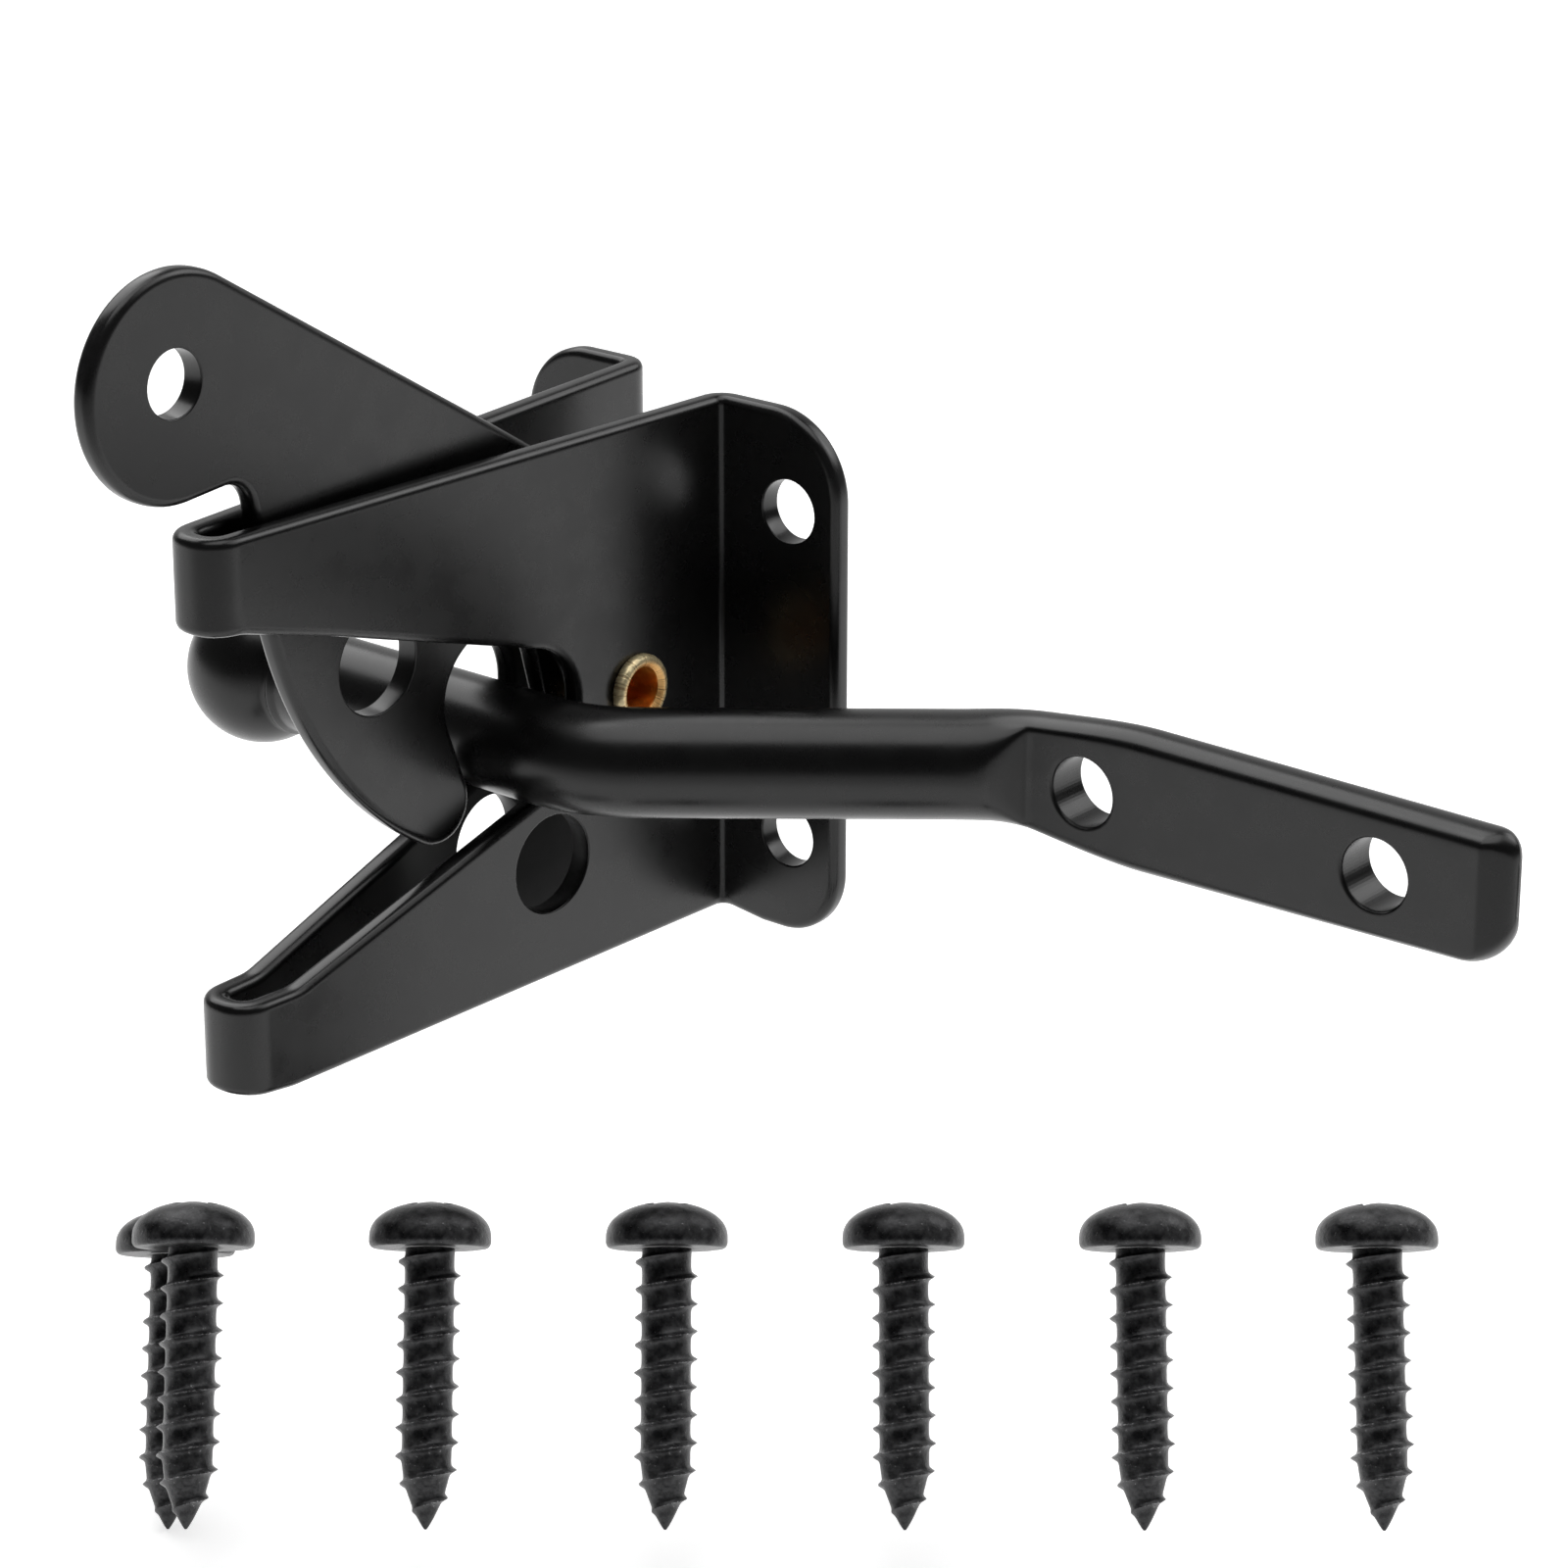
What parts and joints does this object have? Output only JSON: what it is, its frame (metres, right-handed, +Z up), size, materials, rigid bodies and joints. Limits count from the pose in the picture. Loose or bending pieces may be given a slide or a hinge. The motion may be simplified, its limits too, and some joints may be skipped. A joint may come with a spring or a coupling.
{
  "type": "gate latch",
  "caption": "Gravity gate latch: folded housing with a V mouth, pivoted lever that drops in front of a round striker bar with a pressed flat, and the wood screws that fix both.",
  "frame": {"origin": "middle of the four flange holes, on the plane where the flanges meet the post", "axes": "+X along the striker bar from the ball to the pressed flat, +Y into the post, +Z up"},
  "size_m": [0.1293, 0.0851, 0.1178],
  "materials": {
    "black_coat": "satin black coat",
    "rivet_brass": "zinc-yellow, rolled rim",
    "black_phosphate": "black phosphate, slightly oiled"
  },
  "bodies": {
    "latch_body": {"housing": "black_coat", "pivot_rivet": "rivet_brass", "wood_screw_1": "black_phosphate", "wood_screw_2": "black_phosphate", "wood_screw_3": "black_phosphate", "wood_screw_4": "black_phosphate", "wood_screw_5": "black_phosphate", "wood_screw_6": "black_phosphate", "wood_screw_spare": "black_phosphate"},
    "lever": {"lever": "black_coat"},
    "striker": {"striker_bar": "black_coat"}
  },
  "joints": [
    {"name": "lever_pivot", "type": "hinge", "parent": "latch_body", "child": "lever", "pos_m": [0, -0.0136, -0.0002], "axis": [-1, 0, 0], "range_deg": [-3, 45]},
    {"name": "striker_slide", "type": "slide", "parent": "latch_body", "child": "striker", "axis": [1, 0, 0], "range_m": [-0.004, 0.015]}
  ]
}
